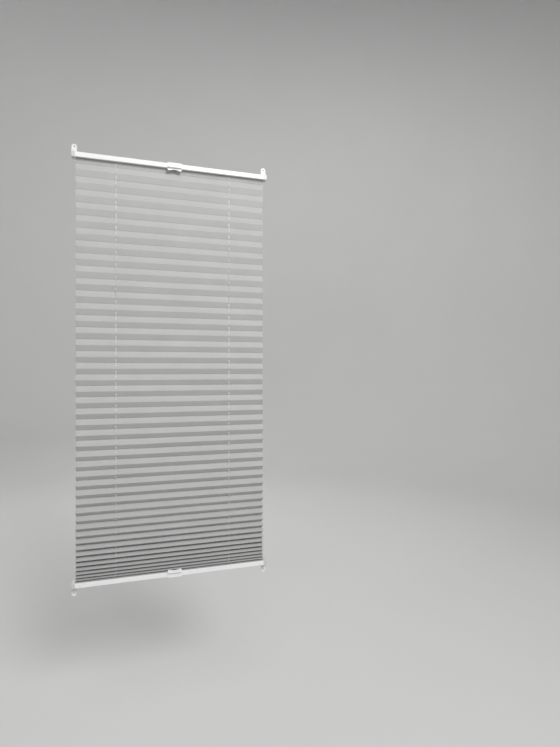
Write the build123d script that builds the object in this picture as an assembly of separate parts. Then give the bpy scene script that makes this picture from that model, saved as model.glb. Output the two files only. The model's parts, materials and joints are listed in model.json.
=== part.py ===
from build123d import *
import os
from math import asin, cos, hypot, pi, sin, sqrt, tanh

# Free-hanging pleated blind: two movable rails with a pleated cloth between them,
# carried by two spring-tensioned cords that run from four plates on the window sash.
# Millimetres. X runs along the rails, the room side faces -Y and Z is up.
# The origin is the middle of the four screw holes, on the plates' back plane.

os.makedirs("parts", exist_ok=True)

# Overall sizes
opening_height = 1175.0       # between the two rails when the blind is fully drawn
rail_length = 536.0           # each aluminium profile without its end caps
standoff = 6.0                # window face to the back of the rails

# Rail profile, from the cloth side outwards: lips, strip chamber, web, cord chamber, wall
rail_wall = 1.2
rail_edge_radius = 1.6
rail_cover = 1.75             # rail past the cloth's folds, front and back
lip_height = 1.2
lip_width = 1.2
strip_play = 0.9              # strip chamber beyond the strip's thickness
web_thickness = 1.0
cord_chamber_height = 8.2

# Cloth
face_width = 18.5             # one face of a pleat, fold to fold
first_face_share = 0.7        # the top face is cut shorter, to meet the rail's slot
fullness = 1.386              # length of cloth for each length of opening
cloth_thickness = 0.3
cloth_side_gap = 0.5          # cloth stands back from each end of the profile
hang_rest = 0.07              # how far the lowest pleats stand open by themselves
flange_gap = 0.1              # glued flange above the lips
fold_gap = 0.4                # end folds clear the lips

# Cloth strips
strip_thickness = 1.5
strip_gap = 0.4               # play inside the rail on each side

# Cord
cord_diameter = 1.2
cord_offset = 162.0           # each cord from the middle of the blind
punch_width = 4.0             # oval holes in the pleats
punch_play = 1.0              # the ovals' short way beyond the cord
lane_offset = 3.5             # crossing cords pass this far from the rail's mid plane
bend_radius = 2.5             # cord round the edge of an eyelet or cap bore
lane_radius = 60.0            # slow turns along a rail
lane_inset = 40.0             # slow turns start this far inside the caps

# Cord guides (eyelets in the rail's web)
guide_play = 0.7              # bore beyond the cord
guide_diameter = 4.2
guide_flange_diameter = 6.6
guide_flange_thickness = 0.5
fit_gap = 0.1                 # pieces set into each other

# Spring and its two return spools, in the top rail
spring_diameter = 5.6
spring_wire = 0.8
spring_length = 58.0
spring_pitch = 2.4
spring_gap = 0.3              # spring above the web
spool_radius = 2.4
spool_flange_radius = 3.4
spool_flange_thickness = 0.6
groove_play = 0.4             # groove beyond the cord
spool_arm_width = 4.4
spool_bridge = 1.4            # joins the two flanges between the cord's loop and the spring
spool_neck_length = 8.0       # plugged into the spring
loop_gap = 0.4                # room round the cord's loop

# End caps
cap_side_wall = 1.0           # beside the shoe's pocket
cap_proud = 0.5               # cap stands past the profile above and below
cap_plug_length = 9.0
cap_edge_radius = 1.5
cap_channel_width = 5.6
cap_bore_play = 1.0           # bore beyond the cord

# Mounting plates
plate_width = 14.0
plate_thickness = 2.4
plate_reach = 31.0            # tip past the rail
shelf_thickness = 2.0
shelf_gap = 0.3               # running gap between shelf and end cap
shelf_front = 4.0             # shelf stops this far behind the rail's front
screw_hole_diameter = 3.8
countersink_diameter = 7.2
tape_thickness = 0.8
tape_margin = 1.5
tape_length = 18.0

# Tension shoes
shoe_width = 7.0
shoe_length = 8.0
shoe_clearance = 0.9          # shoe above the cord's bend
shoe_neck_width = 4.0
shoe_head_height = 1.4
shoe_gap = 0.5                # shoe inside the cap's pocket
knot_play = 0.4               # bore for the cord's end
knot_depth = 2.4
shoe_edge_radius = 1.0
shoe_head_radius = 0.5

# Grips
grip_width = 41.0
grip_thickness = 1.4
grip_reach = 7.5              # past the rail over the cloth
grip_ledge = 5.5              # ledge that the fingers pull, out from the rail
grip_dish = 3.0               # hollow between the two horns
grip_dish_share = 0.66        # of the grip's width
grip_horn_radius = 5.0        # outer side of each horn
grip_hook = 5.0               # hook over the rail's outer side
grip_hook_inset = 3.0         # hook narrower than the face, on each side
grip_ledge_radius = 5.0
grip_gap = 0.05

# Sizes and places worked out from the ones above
tiny = 0.01                   # for picking out edges by their place
strip_chamber_height = strip_thickness + strip_play
web_low = lip_height + strip_chamber_height
web_high = web_low + web_thickness
chamber_top = web_high + cord_chamber_height
rail_height = chamber_top + rail_wall
rail_depth = face_width + 2 * rail_cover
chamber_depth = rail_depth - 2 * rail_wall
slot_depth = chamber_depth - 2 * lip_width
cord_height = web_high + spring_gap + spring_diameter / 2
punch_depth = cord_diameter + punch_play
guide_bore = cord_diameter + guide_play
spool_groove = cord_diameter + groove_play
cap_bore = cord_diameter + cap_bore_play
knot_bore = cord_diameter + knot_play
cap_width = shoe_width + 2 * shoe_gap + 2 * cap_side_wall
face_z = opening_height / 2
mid_y = -(standoff + rail_depth / 2)
front_y = mid_y - rail_depth / 2
cap_x = rail_length / 2 + cap_width / 2
shelf_low = rail_height + cap_proud + shelf_gap
shoe_height = shelf_low - fit_gap - cord_height - bend_radius - shoe_clearance
hole_height = rail_height + plate_reach - plate_width / 2
flange_height = lip_height + flange_gap + cloth_thickness / 2
cloth_width = rail_length - 2 * cloth_side_gap
loop_room = spool_radius + fit_gap + cord_diameter + loop_gap
spool_x = spring_length / 2 + spool_bridge + loop_room


def at(x, y, height):
    # A place on the top half, with height counted from the top rail's cloth side.
    return Pos(x, y, face_z + height)


def block(width, depth, height, x, y, low):
    # A box centred on x and y that starts at a height above the rail's cloth side.
    return at(x, y, low + height / 2) * Box(width, depth, height)


def rod(radius, length, x, y, low):
    return at(x, y, low + length / 2) * Cylinder(radius, length)


def flip(shape):
    # The bottom half is the top half turned over.
    return mirror(shape, about=Plane.XY)


def other_side(shape):
    return mirror(shape, about=Plane.YZ)


def save(shape, name):
    shape.label = name
    export_step(shape, f"parts/{name}.step")
    print(f"{name}: {shape.volume / 1000:.3f} cm3")


# ---- Cloth ----

def hanging_folds(faces):
    # The height of each face and half its depth, from the top down. A face near the top
    # carries more cloth, so it is pulled nearly straight; the pull is set so that the
    # heights fill the opening.
    widths = [face_width * first_face_share] + [face_width] * (faces - 1)
    shares = [1 - (n + 0.5) / faces for n in range(faces)]
    low, high = 0.0, 60.0
    for _ in range(60):
        pull = (low + high) / 2
        straight = [tanh(pull * (share + hang_rest)) for share in shares]
        drops = [width * part for width, part in zip(widths, straight)]
        if sum(drops) < opening_height:
            low = pull
        else:
            high = pull
    return drops, [face_width * sqrt(1 - part ** 2) / 2 for part in straight]


def fold_line():
    # Points of the cloth's middle surface in the Y-Z plane, from the glued flange in the
    # top rail down to the one in the bottom rail. The first fold away from a rail is at
    # the back.
    faces = 2 * round(opening_height * fullness / (2 * face_width))
    drops, reach = hanging_folds(faces)
    widest = slot_depth / 2 - fold_gap
    first = min(2 * reach[0] * first_face_share - (reach[0] + reach[1]) / 2, widest)
    last = min(reach[-1], widest)
    points = [(mid_y + widest, face_z + flange_height), (mid_y - first, face_z + flange_height)]
    points.append((mid_y - first, face_z))
    z = face_z
    for n in range(1, faces):
        z -= drops[n - 1]
        side = 1 if n % 2 else -1
        points.append((mid_y + side * (reach[n - 1] + reach[n]) / 2, z))
    points.append((mid_y - last, -face_z))
    points.append((mid_y - last, -face_z - flange_height))
    points.append((mid_y + widest, -face_z - flange_height))
    return points


def ribbon(points, thickness):
    # The outline of a thin sheet on both sides of a folded line, with mitred folds.
    left = []
    right = []
    for n, (y, z) in enumerate(points):
        before = points[max(n - 1, 0)]
        after = points[min(n + 1, len(points) - 1)]
        normals = []
        for start, end in ((before, (y, z)), ((y, z), after)):
            length = hypot(end[0] - start[0], end[1] - start[1])
            if length > 0:
                normals.append((-(end[1] - start[1]) / length, (end[0] - start[0]) / length))
        across = (sum(v[0] for v in normals), sum(v[1] for v in normals))
        size = hypot(*across)
        unit = (across[0] / size, across[1] / size)
        miter = thickness / 2 / (unit[0] * normals[0][0] + unit[1] * normals[0][1])
        left.append((y + miter * unit[0], z + miter * unit[1]))
        right.append((y - miter * unit[0], z - miter * unit[1]))
    return left + right[::-1]


def make_cloth():
    outline = ribbon(fold_line(), cloth_thickness)
    corners = [(-cloth_width / 2, y, z) for y, z in outline]
    sheet = extrude(make_face(Polyline(*corners, close=True)), amount=cloth_width, dir=(1, 0, 0))
    tall = opening_height + 2 * rail_height
    for x in (-cord_offset, cord_offset):
        punch = extrude(Plane.XY * Ellipse(punch_width / 2, punch_depth / 2), tall / 2, both=True)
        sheet -= Pos(x, mid_y, 0) * punch
    return sheet


# ---- Rails ----

def make_rail():
    def layer(shape, low, height):
        return Plane.YZ * Pos(mid_y, face_z + low + height / 2) * shape

    section = layer(RectangleRounded(rail_depth, rail_height, rail_edge_radius), 0, rail_height)
    cord_room = chamber_top - web_high
    section -= layer(Rectangle(chamber_depth, cord_room), web_high, cord_room)
    section -= layer(Rectangle(chamber_depth, strip_chamber_height), lip_height, strip_chamber_height)
    section -= layer(Rectangle(slot_depth, lip_height), 0, lip_height)
    rail = extrude(section, rail_length / 2, both=True)
    for x in (-cord_offset, cord_offset):
        rail -= rod(guide_diameter / 2 + fit_gap, 2 * web_thickness, x, mid_y, web_low - web_thickness / 2)
    return rail


def make_strip():
    low = flange_height + cloth_thickness / 2
    strip = block(cloth_width, chamber_depth - 2 * strip_gap, strip_thickness, 0, mid_y, low)
    for x in (-cord_offset, cord_offset):
        strip -= rod(guide_diameter / 2 + fit_gap, 2 * strip_thickness, x, mid_y, low - strip_thickness / 2)
    return strip


def make_guide(x):
    # Eyelet that turns the cord from the cloth into the rail, with its flange on the web.
    low = flange_height + cloth_thickness / 2 + fit_gap
    guide = rod(guide_diameter / 2, web_high - low, x, mid_y, low)
    guide += rod(guide_flange_diameter / 2, guide_flange_thickness, x, mid_y, web_high)
    guide -= rod(guide_bore / 2, rail_height, x, mid_y, 0)
    return guide


def make_cap():
    # Right-hand cap of the top rail: outer block, plug, pocket for the shoe, cord way.
    height = rail_height + 2 * cap_proud
    outer = block(cap_width, rail_depth, height, cap_x, mid_y, -cap_proud)
    outer = fillet(outer.edges().filter_by(Axis.Y).group_by(Axis.X)[-1], cap_edge_radius)
    outer = fillet(outer.edges().filter_by(Axis.Z), cap_edge_radius / 2)
    plug_height = chamber_top - web_high - 2 * fit_gap
    plug_depth = chamber_depth - 2 * fit_gap
    plug_x = rail_length / 2 - cap_plug_length / 2
    plug = block(cap_plug_length, plug_depth, plug_height, plug_x, mid_y, web_high + fit_gap)
    cap = outer + plug
    pocket_floor = shelf_low - shoe_height - shoe_gap
    pocket_room = height + shelf_gap
    cap -= block(shoe_width + 2 * shoe_gap, shoe_length + 2 * shoe_gap, pocket_room,
                 cap_x, mid_y, pocket_floor)
    cap -= rod(cap_bore / 2, rail_height, cap_x, mid_y, cord_height - cord_diameter)
    channel_height = pocket_floor - cord_height + cord_diameter - fit_gap
    channel_length = cap_x + cap_bore / 2 - (rail_length / 2 - cap_plug_length)
    channel_x = cap_x + cap_bore / 2 - channel_length / 2
    cap -= block(channel_length, cap_channel_width, channel_height,
                 channel_x, mid_y, cord_height - cord_diameter)
    return cap


# ---- Plates, tape and shoes on the window ----

def make_plate():
    # Tongue on the sash with a round tip, and a shelf over the rail's end for the shoe.
    screw_axis = at(cap_x, -plate_thickness / 2, hole_height) * Rot(90, 0, 0)
    tip = screw_axis * Cylinder(plate_width / 2, plate_thickness)
    tongue = block(plate_width, plate_thickness, hole_height - shelf_low,
                   cap_x, -plate_thickness / 2, shelf_low)
    shelf_depth = -(front_y + shelf_front)
    shelf = block(plate_width, shelf_depth, shelf_thickness, cap_x, -shelf_depth / 2, shelf_low)
    shelf = fillet(shelf.edges().filter_by(Axis.Z).group_by(Axis.Y)[0], plate_width / 4)
    plate = tongue + tip + shelf
    inner = plate.edges().filter_by(Axis.X).filter_by(
        lambda edge: abs(edge.center().Y + plate_thickness) < tiny
        and abs(edge.center().Z - face_z - shelf_low - shelf_thickness) < tiny)
    plate = fillet(inner, shelf_thickness)
    shoe_slot = mid_y + shoe_length / 2 + shoe_gap / 2 + shelf_depth
    plate -= block(shoe_neck_width + 2 * fit_gap, shoe_slot, 3 * shelf_thickness,
                   cap_x, -shelf_depth + shoe_slot / 2, shelf_low - shelf_thickness)
    plate -= screw_axis * Cylinder(screw_hole_diameter / 2, 2 * plate_thickness)
    sink = (countersink_diameter - screw_hole_diameter) / 2
    cone = Cone(screw_hole_diameter / 2, countersink_diameter / 2, sink)
    plate -= at(cap_x, -plate_thickness + sink / 2, hole_height) * Rot(90, 0, 0) * cone
    return plate - make_tape()


def make_tape():
    # Foam pad set flush in the plate's back.
    return block(plate_width - 2 * tape_margin, tape_thickness, tape_length,
                 cap_x, -tape_thickness / 2, shelf_low + tape_margin)


def make_shoe():
    # Body in the cap's pocket, neck through the shelf's slot, head on the shelf.
    body_low = shelf_low - fit_gap - shoe_height
    shoe = block(shoe_width, shoe_length, shoe_height, cap_x, mid_y, body_low)
    shoe = fillet(shoe.edges().filter_by(Axis.Z), shoe_edge_radius)
    neck_height = shelf_thickness + 2 * fit_gap
    shoe += block(shoe_neck_width, shoe_length, neck_height, cap_x, mid_y, shelf_low - fit_gap)
    head_low = shelf_low + shelf_thickness + fit_gap
    head = block(shoe_width, shoe_length, shoe_head_height, cap_x, mid_y, head_low)
    shoe += fillet(head.edges().group_by(Axis.Z)[-1], shoe_head_radius)
    shoe -= rod(knot_bore / 2, knot_depth, cap_x, mid_y, body_low)
    return shoe


# ---- Grip ----

def make_grip():
    # Moulded clip over the front of the rail: face plate, hook over the rail's outer side,
    # and a ledge with a dished edge between two horns.
    top = rail_height + grip_gap + grip_thickness
    low = -grip_reach
    face_y = front_y - grip_gap - grip_thickness / 2
    face = block(grip_width, grip_thickness, top - low, 0, face_y, low)
    hook_depth = grip_hook + grip_gap + grip_thickness
    hook = block(grip_width - 2 * grip_hook_inset, hook_depth, grip_thickness, 0,
                 front_y + grip_hook - hook_depth / 2, top - grip_thickness)
    ledge_depth = grip_ledge + grip_thickness
    ledge = block(grip_width, ledge_depth, grip_thickness, 0,
                  front_y - grip_gap - ledge_depth / 2, 0)
    ledge = fillet(ledge.edges().filter_by(Axis.Z).group_by(Axis.Y)[0], grip_ledge_radius)
    grip = face + hook + ledge
    # The dish is an arc that leaves a horn at each end.
    chord = grip_width * grip_dish_share
    radius = (chord ** 2 / 4 + grip_dish ** 2) / (2 * grip_dish)
    dish = at(0, face_y, low + grip_dish - radius) * Rot(90, 0, 0) * Cylinder(radius, 2 * grip_thickness)
    grip -= dish
    corners = grip.edges().filter_by(Axis.Y).group_by(Axis.Z)[0]
    horns = corners.filter_by(lambda edge: abs(edge.center().X) > grip_width / 2 - tiny)
    return fillet(horns, grip_horn_radius)


# ---- Spring and spools ----

def make_spring():
    mean = (spring_diameter - spring_wire) / 2
    path = Helix(spring_pitch, spring_length - spring_wire, mean)
    wire = sweep(Plane(path @ 0, z_dir=path % 0) * Circle(spring_wire / 2), path=path, is_frenet=True)
    turned = Rot(0, 90, 0) * (Pos(0, 0, -(spring_length - spring_wire) / 2) * wire)
    return at(0, mid_y, cord_height) * turned


def make_spool():
    # Right-hand spool: a disc for the cord between two flanges, which are joined beyond
    # the cord's loop by a bridge with a neck that plugs into the spring.
    height = spool_groove + 2 * spool_flange_thickness
    low = cord_height - height / 2
    spool = rod(spool_flange_radius, height, spool_x, mid_y, low)
    arm_length = spool_x - spring_length / 2
    spool += block(arm_length, spool_arm_width, height, spool_x - arm_length / 2, mid_y, low)
    groove = rod(loop_room, spool_groove, spool_x, mid_y, cord_height - spool_groove / 2)
    groove -= rod(spool_radius, spool_groove, spool_x, mid_y, cord_height - spool_groove / 2)
    spool -= groove
    neck_radius = spring_diameter / 2 - spring_wire - fit_gap
    neck_length = spool_neck_length + spool_bridge
    neck_x = spring_length / 2 + spool_bridge - neck_length / 2
    spool += at(neck_x, mid_y, cord_height) * Rot(0, 90, 0) * Cylinder(neck_radius, neck_length)
    return spool


# ---- Cords ----

def cord_route():
    # One cord from the top left shoe, round the left spool, down through the pleats and
    # across the bottom rail to the right-hand shoe. Returns its three stretches.
    lane_z = face_z + cord_height
    anchor_z = face_z + shelf_low - fit_gap - shoe_height + knot_depth
    loop_radius = spool_radius + cord_diameter / 2 + fit_gap
    spool_at = -spool_x
    out_reach = spool_at + cap_x
    back_reach = spool_at + cord_offset
    out_turn = asin(loop_radius / out_reach)
    back_turn = asin(loop_radius / back_reach)
    leave = (spool_at - loop_radius * sin(out_turn), mid_y - loop_radius * cos(out_turn), lane_z)
    come = (spool_at - loop_radius * sin(back_turn), mid_y + loop_radius * cos(back_turn), lane_z)
    first = FilletPolyline((-cap_x, mid_y, anchor_z), (-cap_x, mid_y, lane_z), leave, radius=bend_radius)
    loop = ThreePointArc(leave, (spool_at + loop_radius, mid_y, lane_z), come)
    lane_end = rail_length / 2 - lane_inset
    second = FilletPolyline(
        come,
        (-cord_offset, mid_y, lane_z),
        (-cord_offset, mid_y, -lane_z),
        (0, mid_y - lane_offset, -lane_z),
        (lane_end, mid_y - lane_offset, -lane_z),
        (cap_x, mid_y, -lane_z),
        (cap_x, mid_y, -anchor_z),
        radius=[bend_radius, bend_radius, lane_radius, lane_radius, bend_radius])
    return first, loop, second


def make_cord():
    first, loop, second = cord_route()
    path = Wire(first.edges() + loop.edges() + second.edges())
    profile = Plane(first @ 0, z_dir=first % 0) * Circle(cord_diameter / 2)
    cord = sweep(profile, path=path)
    section = pi * cord_diameter ** 2 / 4
    print(f"cord length {path.length:.1f} mm, tube {cord.volume / section:.1f} mm")
    return cord


# ---- Every piece ----

cloth = make_cloth()
save(cloth, "pleated_cloth")

rail = make_rail()
save(rail, "top_rail")
save(flip(rail), "bottom_rail")

strip = make_strip()
save(strip, "cloth_strip_top")
save(flip(strip), "cloth_strip_bottom")

grip = make_grip()
save(grip, "grip_top")
save(flip(grip), "grip_bottom")

for side, x in (("left", -cord_offset), ("right", cord_offset)):
    guide = make_guide(x)
    save(guide, f"cord_guide_top_{side}")
    save(flip(guide), f"cord_guide_bottom_{side}")

corner_pieces = {
    "end_cap": make_cap(),
    "mount_plate": make_plate(),
    "tape_pad": make_tape(),
    "tension_shoe": make_shoe(),
}
for name, piece in corner_pieces.items():
    save(piece, f"{name}_top_right")
    save(other_side(piece), f"{name}_top_left")
    save(flip(piece), f"{name}_bottom_right")
    save(Rot(0, 180, 0) * piece, f"{name}_bottom_left")

save(make_spring(), "tension_spring")
spool = make_spool()
save(spool, "cord_spool_right")
save(other_side(spool), "cord_spool_left")

cord = make_cord()
save(cord, "tension_cord_left")
save(Pos(0, mid_y, 0) * Rot(0, 0, 180) * Pos(0, -mid_y, 0) * cord, "tension_cord_right")
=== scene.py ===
import json
from math import cos, pi, radians, sin, sqrt, tanh

import bpy
import numpy as np
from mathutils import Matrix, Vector, noise


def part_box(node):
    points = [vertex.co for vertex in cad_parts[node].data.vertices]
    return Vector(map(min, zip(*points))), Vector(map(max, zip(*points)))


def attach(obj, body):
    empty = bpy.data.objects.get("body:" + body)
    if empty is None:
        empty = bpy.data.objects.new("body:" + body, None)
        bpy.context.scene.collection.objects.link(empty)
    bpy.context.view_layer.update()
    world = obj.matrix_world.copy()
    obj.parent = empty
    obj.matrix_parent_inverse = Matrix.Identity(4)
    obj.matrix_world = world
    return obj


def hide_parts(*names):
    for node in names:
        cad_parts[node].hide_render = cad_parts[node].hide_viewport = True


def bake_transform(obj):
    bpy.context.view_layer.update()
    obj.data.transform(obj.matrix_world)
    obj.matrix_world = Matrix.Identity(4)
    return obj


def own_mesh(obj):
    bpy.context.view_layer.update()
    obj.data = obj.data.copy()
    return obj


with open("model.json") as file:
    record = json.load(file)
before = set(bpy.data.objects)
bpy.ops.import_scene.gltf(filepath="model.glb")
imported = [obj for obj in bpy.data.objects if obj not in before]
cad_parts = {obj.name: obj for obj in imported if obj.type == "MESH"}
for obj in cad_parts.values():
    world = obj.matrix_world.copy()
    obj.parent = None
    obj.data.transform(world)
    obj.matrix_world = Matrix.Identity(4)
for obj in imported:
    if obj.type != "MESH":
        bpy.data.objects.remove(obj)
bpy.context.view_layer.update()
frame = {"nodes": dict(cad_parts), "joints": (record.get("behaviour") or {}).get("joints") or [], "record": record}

print("frame loaded:", len(frame["nodes"]), "nodes")

railLow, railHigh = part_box("top_rail")
faceZ = railLow.z                       # cloth side of the top rail
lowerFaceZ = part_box("bottom_rail")[1].z
railMidY = (railLow.y + railHigh.y) / 2
clothLow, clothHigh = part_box("pleated_cloth")
cordLow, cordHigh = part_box("tension_cord_left")


cameraSetup = {
    "place": (-0.097, -1.411, 0.0),
    "turn": 16.8,          # degrees to the right of the blind's own axis
    "lens": 22.36,
    "sensor": 36,
    "shiftY": -0.0047,
}

studio = {
    "floorZ": -1.1,
    "radius": 5.5,         # round pale backdrop that runs into the floor
    "sweep": 2.0,
    "sweepSteps": 12,
    "height": 9.0,
    "sides": 96,
    "floorColour": (0.66, 0.66, 0.655),
    "floorRoughness": 0.75,
    "floorSpecular": 0.2,
    "floorClouds": 1.5,    # size and strength of the paper's faint clouding
    "floorPaler": 1.015,
    "skyColour": (0.96, 0.98, 1.0, 1),
    "skyStrength": 0.16,
}

# place, what it points at, size in metres and power of each soft lamp
lamps = {
    "keyLight": {"place": (0.9, -2.9, 1.9), "aim": (0, 0, 0), "size": 1.3, "power": 91},
    "topLight": {"place": (-0.5, -3.1, 4.6), "aim": (0, 0, 0), "size": 2.2, "power": 28},
    "fillLight": {"place": (-1.9, -3.0, 1.2), "aim": (0, 0, 0), "size": 1.8, "power": 9},
    # lights only the backdrop behind the blind
    "backdropLight": {"place": (0.9, 1.2, 3.4), "aim": (0.6, 5.5, 0.2),
                      "size": 3.4, "power": 70},
    "rearLight": {"place": (-1.0, 3.2, 1.7), "aim": (0, 0, 0), "size": 2.2, "power": 30},
}


def addCamera(c):
    data = bpy.data.cameras.new("viewCamera")
    data.lens = c["lens"]
    data.sensor_width = c["sensor"]
    data.shift_y = c["shiftY"]
    data.dof.use_dof = False
    camera = bpy.data.objects.new("viewCamera", data)
    bpy.context.collection.objects.link(camera)
    camera.location = c["place"]
    camera.rotation_euler = (radians(90), 0, radians(-c["turn"]))
    bpy.context.scene.camera = camera


def addLamp(name, lamp):
    data = bpy.data.lights.new(name, "AREA")
    data.shape = "DISK"
    data.size = lamp["size"]
    data.energy = lamp["power"]
    made = bpy.data.objects.new(name, data)
    bpy.context.collection.objects.link(made)
    made.visible_camera = False
    made.location = lamp["place"]
    way = Vector(lamp["aim"]) - Vector(lamp["place"])
    made.rotation_euler = way.to_track_quat("-Z", "Y").to_euler()


def addStudio(s, lamps):
    # profile of the backdrop, from the middle of the floor out and up
    flat = s["radius"] - s["sweep"]
    profile = [(0.0, 0.0), (flat, 0.0)]
    for n in range(1, s["sweepSteps"] + 1):
        a = n / s["sweepSteps"] * pi / 2
        profile.append((flat + s["sweep"] * sin(a), s["sweep"] * (1 - cos(a))))
    profile.append((s["radius"], s["height"]))
    points, faces = [], []
    for n in range(s["sides"]):
        a = 2 * pi * n / s["sides"]
        points += [(r * cos(a), r * sin(a), s["floorZ"] + z) for r, z in profile]
    rings = len(profile)
    for n in range(s["sides"]):
        m = (n + 1) % s["sides"]
        for k in range(rings - 1):
            a, b = n * rings + k, m * rings + k
            faces.append((a, a + 1, b + 1, b))
    mesh = bpy.data.meshes.new("studioSweep")
    mesh.from_pydata(points, [], faces)
    mesh.shade_smooth()
    floor = bpy.data.objects.new("studioSweep", mesh)
    bpy.context.collection.objects.link(floor)
    floor.data.materials.append(studioPaper(s))
    for name, lamp in lamps.items():
        addLamp(name, lamp)
    world = bpy.data.worlds.new("studioWorld")
    world.use_nodes = True
    sky = world.node_tree.nodes["Background"]
    sky.inputs["Color"].default_value = s["skyColour"]
    sky.inputs["Strength"].default_value = s["skyStrength"]
    bpy.context.scene.world = world
    bpy.context.scene.view_settings.view_transform = "Standard"
    bpy.context.scene.view_settings.exposure = 0.0


def startMaterial(name, roughness, specular=0.5, metallic=0.0):
    mat = bpy.data.materials.new(name)
    mat.use_nodes = True
    tree = mat.node_tree
    shader = tree.nodes["Principled BSDF"]
    shader.inputs["Roughness"].default_value = roughness
    shader.inputs["Specular IOR Level"].default_value = specular
    shader.inputs["Metallic"].default_value = metallic
    return mat, tree, shader


def addNode(tree, kind, **values):
    node = tree.nodes.new(kind)
    for key, value in values.items():
        if key in node.inputs:
            node.inputs[key].default_value = value
        else:
            setattr(node, key, value)
    return node


def objectPoints(tree, scale=(1, 1, 1)):
    # object coordinates are metres in the blind's own frame
    place = addNode(tree, "ShaderNodeTexCoord")
    return scaled(tree, place.outputs["Object"], scale)


def scaled(tree, points, scale):
    mapping = addNode(tree, "ShaderNodeMapping", Scale=scale)
    tree.links.new(points, mapping.inputs["Vector"])
    return mapping.outputs["Vector"]


def noiseOf(tree, points, scale, detail):
    node = addNode(tree, "ShaderNodeTexNoise", Scale=scale, Detail=detail, Roughness=0.55)
    tree.links.new(points, node.inputs["Vector"])
    return node.outputs["Fac"]


def rampOf(tree, source, low, high, start=0.3, end=0.7):
    ramp = addNode(tree, "ShaderNodeValToRGB")
    ramp.color_ramp.elements[0].position = start
    ramp.color_ramp.elements[0].color = (*low, 1)
    ramp.color_ramp.elements[1].position = end
    ramp.color_ramp.elements[1].color = (*high, 1)
    tree.links.new(source, ramp.inputs["Fac"])
    return ramp.outputs["Color"]


def spanOf(tree, source, low, high, start=0.3, end=0.7):
    node = addNode(tree, "ShaderNodeMapRange")
    node.inputs["From Min"].default_value = start
    node.inputs["From Max"].default_value = end
    node.inputs["To Min"].default_value = low
    node.inputs["To Max"].default_value = high
    tree.links.new(source, node.inputs["Value"])
    return node.outputs["Result"]


def mathOf(tree, operation, a, b=None):
    node = addNode(tree, "ShaderNodeMath", operation=operation)
    for socket, value in zip(node.inputs, (a, b)):
        if value is None:
            continue
        if isinstance(value, (int, float)):
            socket.default_value = value
        else:
            tree.links.new(value, socket)
    return node.outputs["Value"]


def mixed(tree, a, shareA, b, shareB):
    # the sum of two patterns, each by its share
    first = mathOf(tree, "MULTIPLY", a, shareA)
    return mathOf(tree, "ADD", first, mathOf(tree, "MULTIPLY", b, shareB))


def bumpOf(tree, shader, height, strength, distance):
    bump = addNode(tree, "ShaderNodeBump", Strength=strength, Distance=distance)
    tree.links.new(height, bump.inputs["Height"])
    tree.links.new(bump.outputs["Normal"], shader.inputs["Normal"])


def studioPaper(s):
    mat, tree, shader = startMaterial("studioPaper", s["floorRoughness"], s["floorSpecular"])
    cloudy = noiseOf(tree, objectPoints(tree), s["floorClouds"], 2)
    paler = tuple(min(1, c * s["floorPaler"]) for c in s["floorColour"])
    tree.links.new(rampOf(tree, cloudy, s["floorColour"], paler), shader.inputs["Base Color"])
    return mat


clothFinish = {
    "shade": (0.428, 0.430, 0.426),
    "lighter": (0.532, 0.533, 0.528),
    "threadPitch": 0.42,       # mm
    "threadStray": 1.6,        # how far a thread strays, as a part of its wave
    "strayScale": 0.9,
    "slubScale": (0.035, 1.7, 1),   # long with the weft, thin across it
    "slubHeight": 0.8,
    "cloudScale": 0.012,
    "slubTone": 0.5,           # how much of the colour each pattern carries
    "cloudTone": 0.3,
    "weaveTone": 0.22,
    "roughness": 0.86,
    "roughnessSpread": 0.06,
    "specular": 0.25,
    "sheen": 0.12,
    "sheenRoughness": 0.5,
    "bumpStrength": 0.55,
    "bumpHeight": 0.0001,
    # painted shade: fine darker lines along the back folds, where shade falls in the creases
    "creaseShadeWidth": 1.2,        # mm to each side of a back fold
    "creasePaintedShade": 0.68,
}


def plainWeave(f, tree, mm, acrossMm, alongMm):
    beat = 2 * pi / f["threadPitch"]
    stray = mathOf(tree, "MULTIPLY", noiseOf(tree, mm, f["strayScale"], 2), f["threadStray"])
    across = mathOf(tree, "ADD", mathOf(tree, "MULTIPLY", acrossMm, beat), stray)
    along = mathOf(tree, "ADD", mathOf(tree, "MULTIPLY", alongMm, beat), stray)
    warp = mathOf(tree, "ABSOLUTE", mathOf(tree, "SINE", across))
    weft = mathOf(tree, "ABSOLUTE", mathOf(tree, "SINE", along))
    # over and under: where one thread rises the crossing one dips
    halfAcross = mathOf(tree, "SINE", mathOf(tree, "MULTIPLY", across, 0.5))
    halfAlong = mathOf(tree, "SINE", mathOf(tree, "MULTIPLY", along, 0.5))
    over = mathOf(tree, "MULTIPLY", halfAcross, halfAlong)
    return mixed(tree, mathOf(tree, "ADD", warp, weft), 0.3, over, 0.4)


def paintedFoldShade(f, tree, alongMm, length, foldStart, foldPitch):
    # painted shade: the back folds are darkened in fine lines, where shade falls in the creases
    folded = mathOf(tree, "SUBTRACT", (length - foldStart) * 1000, alongMm)
    turns = mathOf(tree, "FRACT", mathOf(tree, "DIVIDE", folded, foldPitch * 1000))
    middle = mathOf(tree, "ABSOLUTE", mathOf(tree, "SUBTRACT", turns, 0.5))
    away = mathOf(tree, "MULTIPLY", mathOf(tree, "SUBTRACT", 0.5, middle), foldPitch * 1000)
    return spanOf(tree, away, f["creasePaintedShade"], 1.0, 0.0, f["creaseShadeWidth"])


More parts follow.
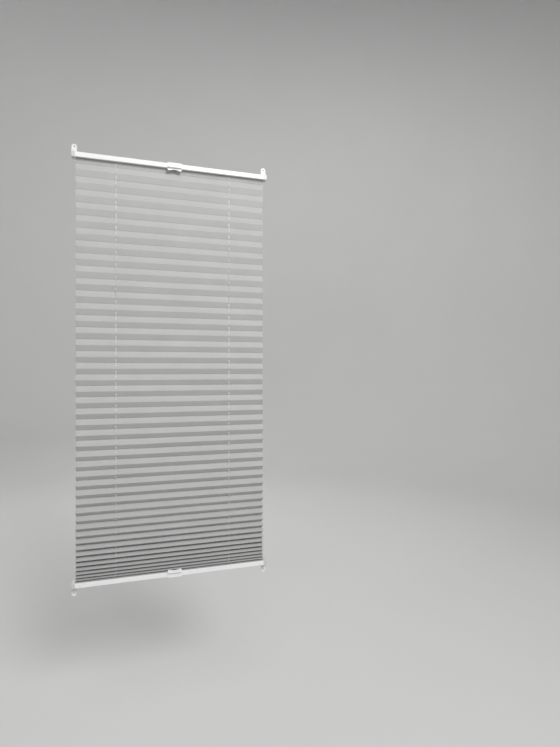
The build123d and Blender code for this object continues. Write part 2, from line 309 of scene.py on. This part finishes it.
def pleatFabric(f, width, length, foldStart, foldPitch):
    # drawn along the cloth's own run, so it folds and packs with the pleats
    mat, tree, shader = startMaterial("pleatFabric", f["roughness"], f["specular"])
    shader.inputs["Sheen Weight"].default_value = f["sheen"]
    shader.inputs["Sheen Roughness"].default_value = f["sheenRoughness"]
    run = addNode(tree, "ShaderNodeUVMap", uv_map="clothRun")
    mm = scaled(tree, run.outputs["UV"], (width * 1000, length * 1000, 1))
    parts = addNode(tree, "ShaderNodeSeparateXYZ")
    tree.links.new(mm, parts.inputs["Vector"])
    weave = plainWeave(f, tree, mm, parts.outputs["X"], parts.outputs["Y"])
    slub = noiseOf(tree, scaled(tree, mm, f["slubScale"]), 1.0, 4)
    cloudy = noiseOf(tree, mm, f["cloudScale"], 3)
    tone = mixed(tree, slub, f["slubTone"], cloudy, f["cloudTone"])
    tone = mathOf(tree, "ADD", tone, mathOf(tree, "MULTIPLY", weave, f["weaveTone"]))
    woven = rampOf(tree, tone, f["shade"], f["lighter"], 0.25, 0.75)
    # painted shade along the back folds darkens the woven colour
    foldShaded = addNode(tree, "ShaderNodeVectorMath", operation="SCALE")
    tree.links.new(woven, foldShaded.inputs[0])
    foldShadeFactor = paintedFoldShade(f, tree, parts.outputs["Y"], length, foldStart, foldPitch)
    tree.links.new(foldShadeFactor, foldShaded.inputs["Scale"])
    tree.links.new(foldShaded.outputs["Vector"], shader.inputs["Base Color"])
    smooth, rough = (f["roughness"] + side * f["roughnessSpread"] for side in (-1, 1))
    tree.links.new(spanOf(tree, slub, smooth, rough), shader.inputs["Roughness"])
    height = mathOf(tree, "ADD", weave, mathOf(tree, "MULTIPLY", slub, f["slubHeight"]))
    bumpOf(tree, shader, height, f["bumpStrength"], f["bumpHeight"])
    return mat


# coated metal and moulded plastic; grain is per metre, bump in metres
finishes = {
    "rail": {"shade": (0.81, 0.815, 0.81), "lighter": (0.86, 0.86, 0.855),
             "roughness": 0.38, "grain": 2600, "bump": 0.000020},
    "grip": {"shade": (0.80, 0.805, 0.805), "lighter": (0.85, 0.855, 0.85),
             "roughness": 0.32, "grain": 900, "bump": 0.000018},
    "cap": {"shade": (0.56, 0.565, 0.565), "lighter": (0.61, 0.612, 0.61),
            "roughness": 0.42, "grain": 1500, "bump": 0.000015},
    "plate": {"shade": (0.77, 0.775, 0.77), "lighter": (0.83, 0.83, 0.825),
              "roughness": 0.40, "grain": 1400, "bump": 0.000022},
    "shoe": {"shade": (0.76, 0.765, 0.76), "lighter": (0.81, 0.812, 0.81),
             "roughness": 0.40, "grain": 1600, "bump": 0.000012},
    "guide": {"shade": (0.78, 0.78, 0.77), "lighter": (0.84, 0.84, 0.83),
              "roughness": 0.34, "grain": 1500, "bump": 0.000010},
    "strip": {"shade": (0.70, 0.70, 0.69), "lighter": (0.76, 0.76, 0.75),
              "roughness": 0.50, "grain": 700, "bump": 0.000012},
}

handling = {
    "cloudScale": 9,               # faint clouding of the colour, per metre
    "rubbedScale": (14, 90, 90),   # strokes that run with the rails
    "smoother": 0.07,
    "rougher": 0.10,
    "bumpStrength": 0.6,
}


def hardFinish(name, f, h):
    # fine grain, faint clouding, rubbed patches
    mat, tree, shader = startMaterial(name, f["roughness"])
    points = objectPoints(tree)
    fine = noiseOf(tree, points, f["grain"], 4)
    cloudy = noiseOf(tree, points, h["cloudScale"], 4)
    rubbed = noiseOf(tree, objectPoints(tree, h["rubbedScale"]), 1.0, 5)
    tone = mixed(tree, cloudy, 0.7, fine, 0.3)
    tree.links.new(rampOf(tree, tone, f["shade"], f["lighter"]), shader.inputs["Base Color"])
    wear = mixed(tree, rubbed, 0.75, fine, 0.25)
    rough = spanOf(tree, wear, f["roughness"] - h["smoother"], f["roughness"] + h["rougher"])
    tree.links.new(rough, shader.inputs["Roughness"])
    bumpOf(tree, shader, fine, h["bumpStrength"], f["bump"])
    return mat


foamFinish = {
    "shade": (0.55, 0.55, 0.54),
    "lighter": (0.72, 0.72, 0.70),
    "cells": 2400.0,      # per metre
    "roughness": 0.9,
    "specular": 0.2,
    "bumpStrength": 0.8,
    "bumpHeight": 0.0001,
}


def foamPad(f):
    mat, tree, shader = startMaterial("foamPad", f["roughness"], f["specular"])
    cells = addNode(tree, "ShaderNodeTexVoronoi", Scale=f["cells"])
    tree.links.new(objectPoints(tree), cells.inputs["Vector"])
    depth = cells.outputs["Distance"]
    colour = rampOf(tree, depth, f["shade"], f["lighter"], 0.0, 0.6)
    tree.links.new(colour, shader.inputs["Base Color"])
    bumpOf(tree, shader, depth, f["bumpStrength"], f["bumpHeight"])
    return mat


springFinish = {
    "shade": (0.42, 0.42, 0.41),
    "lighter": (0.60, 0.60, 0.59),
    "drawnScale": (200, 1500, 1500),   # marks left by drawing the wire
    "roughness": 0.32,
    "roughnessSpan": (0.24, 0.42),
    "bumpStrength": 0.4,
    "bumpHeight": 0.00002,
}


def springWire(f):
    mat, tree, shader = startMaterial("springWire", f["roughness"], metallic=1.0)
    drawn = noiseOf(tree, objectPoints(tree, f["drawnScale"]), 1.0, 4)
    tree.links.new(rampOf(tree, drawn, f["shade"], f["lighter"]), shader.inputs["Base Color"])
    tree.links.new(spanOf(tree, drawn, *f["roughnessSpan"]), shader.inputs["Roughness"])
    bumpOf(tree, shader, drawn, f["bumpStrength"], f["bumpHeight"])
    return mat


cordFinish = {
    "pale": (0.95, 0.95, 0.94),
    "groove": (0.82, 0.82, 0.80),
    "strandPitch": 0.0011,
    "strandSlant": 0.6,
    "fluffScale": 4200,
    "roughness": 0.62,
    "roughnessSpan": (0.52, 0.74),
    "specular": 0.35,
    "bumpStrength": 0.5,
    "bumpHeight": 0.00008,
}


def braidedCord(f):
    # two families of strands cross at a slant
    # the pattern stands still while the rails slide
    mat, tree, shader = startMaterial("braidedCord", f["roughness"], f["specular"])
    parts = addNode(tree, "ShaderNodeSeparateXYZ")
    tree.links.new(objectPoints(tree), parts.inputs["Vector"])
    beat = 2 * pi / f["strandPitch"]
    level = mathOf(tree, "ADD", parts.outputs["X"], parts.outputs["Y"])
    rise = mathOf(tree, "MULTIPLY", parts.outputs["Z"], f["strandSlant"])
    up = mathOf(tree, "MULTIPLY", mathOf(tree, "ADD", level, rise), beat)
    down = mathOf(tree, "MULTIPLY", mathOf(tree, "SUBTRACT", level, rise), beat)
    strands = mathOf(tree, "MULTIPLY", mathOf(tree, "SINE", up), mathOf(tree, "SINE", down))
    fluff = noiseOf(tree, objectPoints(tree), f["fluffScale"], 3)
    height = mathOf(tree, "ADD", mathOf(tree, "MULTIPLY", strands, 0.5), fluff)
    colour = rampOf(tree, height, f["groove"], f["pale"], 0.1, 0.55)
    tree.links.new(colour, shader.inputs["Base Color"])
    tree.links.new(spanOf(tree, fluff, *f["roughnessSpan"]), shader.inputs["Roughness"])
    bumpOf(tree, shader, height, f["bumpStrength"], f["bumpHeight"])
    return mat


addCamera(cameraSetup)
addStudio(studio, lamps)

cloth = {
    "faces": 88,               # two to a pleat
    "faceWidth": 0.0185,
    "firstShare": 0.7,         # the top face is cut shorter
    "hangRest": 0.07,          # how far the lowest pleats stand open by themselves
    "thickness": 0.0003,
    # the upper faces pack when the top rail comes down, the others when the bottom rail goes up
    "upperFaces": 22,
    "bandFaces": 11,
    "bandCut": 0.93,           # a band ends in the flat of a face, not on a fold
    "cordAt": 0.162,
    "punch": (0.0044, 0.0024),  # oval holes, across and front to back
    "punchShift": -0.0008,     # the cord lies against the right side of its holes
    "punchSides": 16,
    "punchRoom": 0.004,        # close columns to each side of a hole
    "columns": 46,
    # places down one face, closer together at the folds
    "rows": (0.0, 0.028, 0.07, 0.25, 0.5, 0.75, 0.93, 0.972),
    "foldShare": 0.028,        # part of a face that rounds into a fold
    "foldRound": 0.00016,
    "foldDrift": 0.00035,      # how far a fold wanders out of line
    # waves for each metre along a fold and from fold to fold, then which slice of the noise
    "slowWave": (5.0, 0.83, 3.7),
    "quickWave": (23.0, 1.31, 9.1),
    "quickPart": 0.35,
    "sinkWave": (4.0, 0.57, 1.9),
    "sinkShift": 31.0,
    "faceBow": 0.00022,
    "bowWave": (3.0, 0.9, 5.5),
    "heldFaces": 4,            # the wander grows over so many faces from a rail
    "calmFaces": 3,            # and from the cut that never moves
    "sharpAngle": 66,          # degrees
    "flangeInset": 0.0002,     # the glued flange stops short of the cloth's back
    "hemRun": 0.003,           # how far the weave moves on from one row of a hem to the next
}
clothWidth = clothHigh.x - clothLow.x
clothLength = (cloth["faces"] - 1 + cloth["firstShare"]) * cloth["faceWidth"]
firstFold = cloth["firstShare"] * cloth["faceWidth"]
fabric = pleatFabric(clothFinish, clothWidth, clothLength, firstFold, 2 * cloth["faceWidth"])
braid = braidedCord(cordFinish)
finishOf = {name: hardFinish(name + "Finish", f, handling) for name, f in finishes.items()}
finishOf["tape"] = foamPad(foamFinish)
finishOf["spring"] = springWire(springFinish)
finishOf["cord"] = braid
finishOf["cloth"] = fabric

slotOf = {part["node"]: part["material_slot"] for part in frame["record"]["subparts"]}
travel = {joint["name"]: joint["range_m"][1] for joint in frame["joints"]}
print("materials made:", len(finishOf) + 1)


def foldRun(c):
    # folds from the top rail's cloth side down
    # high faces carry more cloth below them, so they hang straighter
    opening = faceZ - lowerFaceZ
    widths = [c["faceWidth"] * c["firstShare"]] + [c["faceWidth"]] * (c["faces"] - 1)
    shares = [1 - (n + 0.5) / c["faces"] for n in range(c["faces"])]
    low, high = 0.0, 60.0
    for _ in range(60):      # halves the range until the faces fill the opening
        pull = (low + high) / 2
        straight = [tanh(pull * (share + c["hangRest"])) for share in shares]
        drops = [width * part for width, part in zip(widths, straight)]
        if sum(drops) < opening:
            low = pull
        else:
            high = pull
    reach = [c["faceWidth"] * sqrt(1 - part ** 2) / 2 for part in straight]
    firstIn = 2 * reach[0] * c["firstShare"] - (reach[0] + reach[1]) / 2
    found = [(railMidY - firstIn, faceZ)]
    z = faceZ
    for n in range(1, c["faces"]):
        z -= drops[n - 1]
        side = 1 if n % 2 else -1
        found.append((railMidY + side * (reach[n - 1] + reach[n]) / 2, z))
    found.append((railMidY - reach[-1], lowerFaceZ))
    return found


folds = foldRun(cloth)
splitZ = folds[cloth["upperFaces"]][1]


def clothColumns(c):
    # even columns, with three close ones at each row of punched holes
    half, room = clothWidth / 2, c["punchRoom"]
    hole = [side * c["cordAt"] + step for side in (-1, 1) for step in (-room, 0.0, room)]
    even = [float(x) for x in np.linspace(-half, half, c["columns"])]
    kept = [x for x in even if all(abs(x - h) > 1.5 * room for h in hole)]
    return sorted(kept + hole)


def wander(x, n, wave, shift=0.0):
    along, across, layer = wave
    return noise.noise(Vector((x * along + shift, n * across, layer)))


def clothPoint(c, x, face, share):
    # a point of the cloth's middle surface, and how far along the run it lies
    y0, z0 = folds[face]
    y1, z1 = folds[min(face + 1, c["faces"])]
    place = face + share
    rounding = max(0.0, 1 - min(share, 1 - share) / c["foldShare"]) * c["foldRound"]
    inward = (1 if y1 > y0 else -1) * (1 if share < 0.5 else -1) * rounding
    # held by the rails at both ends, free to wander between them
    free = min(1.0, place / c["heldFaces"], (c["faces"] - place) / c["heldFaces"])
    calm = min(1.0, abs(place - c["upperFaces"] - c["bandCut"]) / c["calmFaces"])

    def drift(n):
        slow, quick = wander(x, n, c["slowWave"]), wander(x, n, c["quickWave"])
        return (slow + c["quickPart"] * quick) * c["foldDrift"] * free

    def sink(n):
        return wander(x, n, c["sinkWave"], c["sinkShift"]) * c["foldDrift"] * free * calm

    bow = sin(pi * share) * c["faceBow"] * (0.5 + wander(x, face, c["bowWave"])) * free
    y = y0 + (y1 - y0) * share + inward + drift(face) * (1 - share) + drift(face + 1) * share - bow
    z = z0 + (z1 - z0) * share + sink(face) * (1 - share) + sink(face + 1) * share
    return (x, y, z), runLength(c, place)


def runLength(c, place):
    # cloth from the top rail down to a place counted in faces
    return (min(place, 1) * c["firstShare"] + max(place - 1, 0)) * c["faceWidth"]


def punchedHole(c, points, run, face, x, outer):
    # an oval where the cord passes, joined to the eight points round it
    y0, y1 = folds[face][0], folds[face + 1][0]
    down = 1 if y1 > y0 else -1   # which way the oval turns against the rows
    sides, inner = c["punchSides"], []
    for n in range(sides):
        a = 2 * pi * n / sides
        holeX = x + c["punchShift"] + cos(a) * c["punch"][0] / 2
        share = (railMidY + sin(a) * c["punch"][1] / 2 - y0) / (y1 - y0)
        point, along = clothPoint(c, holeX, face, share)
        inner.append(len(points))
        points.append(point)
        run.append((holeX / clothWidth + 0.5, 1 - along / clothLength))
    ring = [(0, 1), (down, 1), (down, 0), (down, -1),
            (0, -1), (-down, -1), (-down, 0), (-down, 1)]
    faces = []
    for n in range(8):
        m = (n + 1) % 8
        corners = [outer(*ring[n]), outer(*ring[m])]
        corners += [inner[(2 * m) % sides], inner[2 * n + 1], inner[2 * n]]
        faces.append(corners if down < 0 else corners[::-1])
    return faces


def pleatBand(c, name, first, last):
    # one stretch of the cloth from face `first` to `last`, with its punched holes
    columns = clothColumns(c)
    rows = [(first - 1, r) for r in c["rows"] if r >= c["bandCut"] and first > 0]
    for face in range(first, last):
        rows += [(face, r) for r in c["rows"]]
    if last == c["faces"]:
        rows.append((last - 1, 1.0))
    else:
        rows = [(f, r) for f, r in rows if f < last - 1 or r <= c["bandCut"]]
    points, run = [], []
    for face, share in rows:
        for x in columns:
            point, along = clothPoint(c, x, face, share)
            points.append(point)
            run.append((x / clothWidth + 0.5, 1 - along / clothLength))
    wide = len(columns)
    holeColumns = [n for n, x in enumerate(columns) if abs(abs(x) - c["cordAt"]) < 1e-6]
    holeRows = [n for n, (_, share) in enumerate(rows) if share == 0.5]
    skip, faces = set(), []
    for r in holeRows:
        for k in holeColumns:
            skip |= {(r - 1, k - 1), (r - 1, k), (r, k - 1), (r, k)}
            faces += punchedHole(c, points, run, rows[r][0], columns[k],
                                 lambda dr, dk: (r + dr) * wide + k + dk)
    for r in range(len(rows) - 1):
        for k in range(wide - 1):
            if (r, k) not in skip:
                a = r * wide + k
                faces.append([a, a + wide, a + wide + 1, a + 1])
    return clothPiece(c, name, points, faces, run)


def clothPiece(c, name, points, faces, run):
    mesh = bpy.data.meshes.new(name)
    mesh.from_pydata(points, [], faces)
    layer = mesh.uv_layers.new(name="clothRun")
    for loop in mesh.loops:
        layer.data[loop.index].uv = run[loop.vertex_index]
    mesh.shade_smooth()
    piece = bpy.data.objects.new(name, mesh)
    bpy.context.collection.objects.link(piece)
    solid = piece.modifiers.new("clothThickness", "SOLIDIFY")
    solid.thickness = c["thickness"]
    solid.offset = 0
    graph = bpy.context.evaluated_depsgraph_get()
    made = bpy.data.meshes.new_from_object(piece.evaluated_get(graph))
    piece.modifiers.clear()
    piece.data = made
    made.set_sharp_from_angle(angle=radians(c["sharpAngle"]))
    made.materials.append(fabric)
    return piece


def cutPlace(c, face):
    # a cut's place counted in faces, and its height as it hangs
    if face == 0:
        return 0, folds[0][1]
    if face == c["faces"]:
        return face, folds[-1][1]
    return face - 1 + c["bandCut"], clothPoint(c, 0.0, face - 1, c["bandCut"])[0][2]


def packedZ(c, place, joint):
    # where a cut lies once its rail has come all the way; the pleats share the room left
    still, stillZ = cutPlace(c, c["upperFaces"])
    if joint == "top_rail_drop":
        return stillZ + (faceZ - travel[joint] - stillZ) * (still - place) / still
    end = lowerFaceZ + travel[joint]
    return stillZ - (stillZ - end) * (place - still) / (c["faces"] - still)


def hangBands(c):
    # the cut between the two groups of bands never moves
    count, above = 0, "cloth_strip_top"
    for first in range(0, c["faces"], c["bandFaces"]):
        last = first + c["bandFaces"]
        count += 1
        name = f"cloth_pleats_{count}"
        band = pleatBand(c, name, first, last)
        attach(band, "window_mounts")
        joint = "top_rail_drop" if last <= c["upperFaces"] else "bottom_rail_lift"
        # heights of a band's two cuts as it hangs and once its rail has come all the way
        start, startZ = cutPlace(c, first)
        end, endZ = cutPlace(c, last)
        packedStart, packedEnd = packedZ(c, start, joint), packedZ(c, end, joint)
        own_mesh(band)
        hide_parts("pleated_cloth")
        above = name
    print("cloth hung:", count, "bands of", c["bandFaces"], "faces")


def clothHem(c, name, sign, body, strip):
    # the neck and the glued flange inside a rail
    stripLow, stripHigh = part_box(strip)
    glue = stripLow.z if sign > 0 else stripHigh.z
    flangeZ = glue - sign * c["thickness"] / 2
    edgeY, edgeZ = folds[0] if sign > 0 else folds[-1]
    backY = clothHigh.y - c["flangeInset"]
    line = [(edgeY, edgeZ), (edgeY, flangeZ), (railMidY, flangeZ), (backY, flangeZ)]
    columns = clothColumns(c)
    points, faces, run = [], [], []
    for n, (y, z) in enumerate(line):
        for x in columns:
            points.append((x, y, z))
            run.append((x / clothWidth + 0.5, 0.5 + n * c["hemRun"]))
    wide = len(columns)
    for n in range(len(line) - 1):
        for k in range(wide - 1):
            a = n * wide + k
            faces.append([a, a + 1, a + wide + 1, a + wide])
    hem = clothPiece(c, name, points, faces, run)
    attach(hem, body)
    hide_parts("pleated_cloth")


hangBands(cloth)
clothHem(cloth, "cloth_hem_top", 1, "upper_rail", "cloth_strip_top")
clothHem(cloth, "cloth_hem_bottom", -1, "lower_rail", "cloth_strip_bottom")
print("hems glued")


tensionCord = {
    "diameter": 0.0012,
    "laneHeight": 0.0077,       # inside a rail, from its cloth side
    "capX": 0.273,
    "spoolX": 0.0345,
    "loopRadius": 0.00305,
    "laneOffset": 0.0035,
    "laneInset": 0.040,
    "railHalf": 0.268,
    "bend": 0.0025,
    "lead": 0.006,              # run on each side of a turn or loop
    "eyelet": 0.0005,           # the straight run starts this far outside the rail
    "sides": 14,
    "curveSteps": 8,            # along a turn of the cord, and round it
    "curveRound": 3,
}


def cordPlace(point, turned):
    # the right cord is the left one turned half a turn about the blind's middle line
    x, y, z = point
    return (-x, 2 * railMidY - y, z) if turned else (x, y, z)


def cordInRail(name, points, body, c, node):
    curve = bpy.data.curves.new(name, "CURVE")
    curve.dimensions = "3D"
    spline = curve.splines.new("NURBS")
    spline.points.add(len(points) - 1)
    for place, point in zip(spline.points, points):
        place.co = (*point, 1)
    spline.order_u = 3
    spline.use_endpoint_u = True
    curve.resolution_u = c["curveSteps"]
    curve.bevel_depth = c["diameter"] / 2
    curve.bevel_resolution = c["curveRound"]
    curve.use_fill_caps = True
    piece = bpy.data.objects.new(name, curve)
    bpy.context.collection.objects.link(piece)
    curve.materials.append(braid)
    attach(piece, body)
    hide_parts(node)


def straightCord(name, a, b, c, node):
    # rings only at the two ends, so the run stays straight when it is drawn out
    sides, r = c["sides"], c["diameter"] / 2
    points = []
    for x, y, z in (a, b):
        turns = [2 * pi * n / sides for n in range(sides)]
        points += [(x + r * cos(t), y + r * sin(t), z) for t in turns]
    faces = [(n, (n + 1) % sides, sides + (n + 1) % sides, sides + n) for n in range(sides)]
    caps = [list(range(sides)), list(range(sides, 2 * sides))[::-1]]
    if a[2] > b[2]:
        faces = [f[::-1] for f in faces] + caps
    else:
        faces += [f[::-1] for f in caps]
    mesh = bpy.data.meshes.new(name)
    mesh.from_pydata(points, [], faces)
    for face in mesh.polygons:
        face.use_smooth = len(face.vertices) == 4
    piece = bpy.data.objects.new(name, mesh)
    bpy.context.collection.objects.link(piece)
    mesh.materials.append(braid)
    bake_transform(piece)
    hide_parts(node)


def threadCord(c, side, turned):
    node = "tension_cord_" + side
    mid, laneZ = railMidY, faceZ + c["laneHeight"]
    r, spoolX, lead = c["loopRadius"], -c["spoolX"], c["lead"]
    upX, downX = -c["capX"], -cloth["cordAt"]
    top = [
        (upX, mid, laneZ + c["bend"]), (upX, mid, laneZ), (upX + c["bend"] * 2, mid, laneZ),
        (spoolX - lead, mid - r, laneZ), (spoolX + r, mid - r, laneZ),
        (spoolX + r, mid + r, laneZ), (spoolX - lead, mid + r, laneZ),
        (downX + lead, mid, laneZ), (downX, mid, laneZ), (downX, mid, laneZ - lead),
        (downX, mid, faceZ - c["eyelet"]),
    ]
    laneEnd = c["railHalf"] - c["laneInset"]
    bottom = [
        (downX, mid, -faceZ + c["eyelet"]), (downX, mid, -laneZ + lead), (downX, mid, -laneZ),
        (downX + lead, mid, -laneZ), (0.0, mid - c["laneOffset"], -laneZ),
        (laneEnd, mid - c["laneOffset"], -laneZ), (-upX - c["bend"] * 2, mid, -laneZ),
        (-upX, mid, -laneZ), (-upX, mid, -laneZ - c["bend"]),
    ]
    top = [cordPlace(p, turned) for p in top]
    bottom = [cordPlace(p, turned) for p in bottom]
    cordInRail(f"cord_in_top_rail_{side}", top, "upper_rail", c, node)
    cordInRail(f"cord_in_bottom_rail_{side}", bottom, "lower_rail", c, node)
    split = (top[-1][0], top[-1][1], splitZ)
    straightCord(f"cord_run_upper_{side}", top[-1], split, c, node)
    straightCord(f"cord_run_lower_{side}", split, bottom[0], c, node)
    # from each shoe down or up to its rail, drawn out as the rail moves off
    topShoe = (top[0][0], top[0][1], cordHigh.z)
    straightCord(f"cord_anchor_top_{side}", topShoe, top[0], c,
                 node)
    lowShoe = (bottom[-1][0], bottom[-1][1], cordLow.z)
    straightCord(f"cord_anchor_bottom_{side}", lowShoe, bottom[-1], c,
                 node)


threadCord(tensionCord, "left", False)
threadCord(tensionCord, "right", True)
print("cords threaded")


def finishNodes():
    count = 0
    for name, node in sorted(frame["nodes"].items()):
        if name == "pleated_cloth" or name.startswith("tension_cord"):
            continue
        finish = finishOf[slotOf[name]]
        for place in node.material_slots:
            place.material = finish
        if not node.material_slots:
            node.data.materials.append(finish)
        count += 1
    print("pieces finished:", count)


finishNodes()
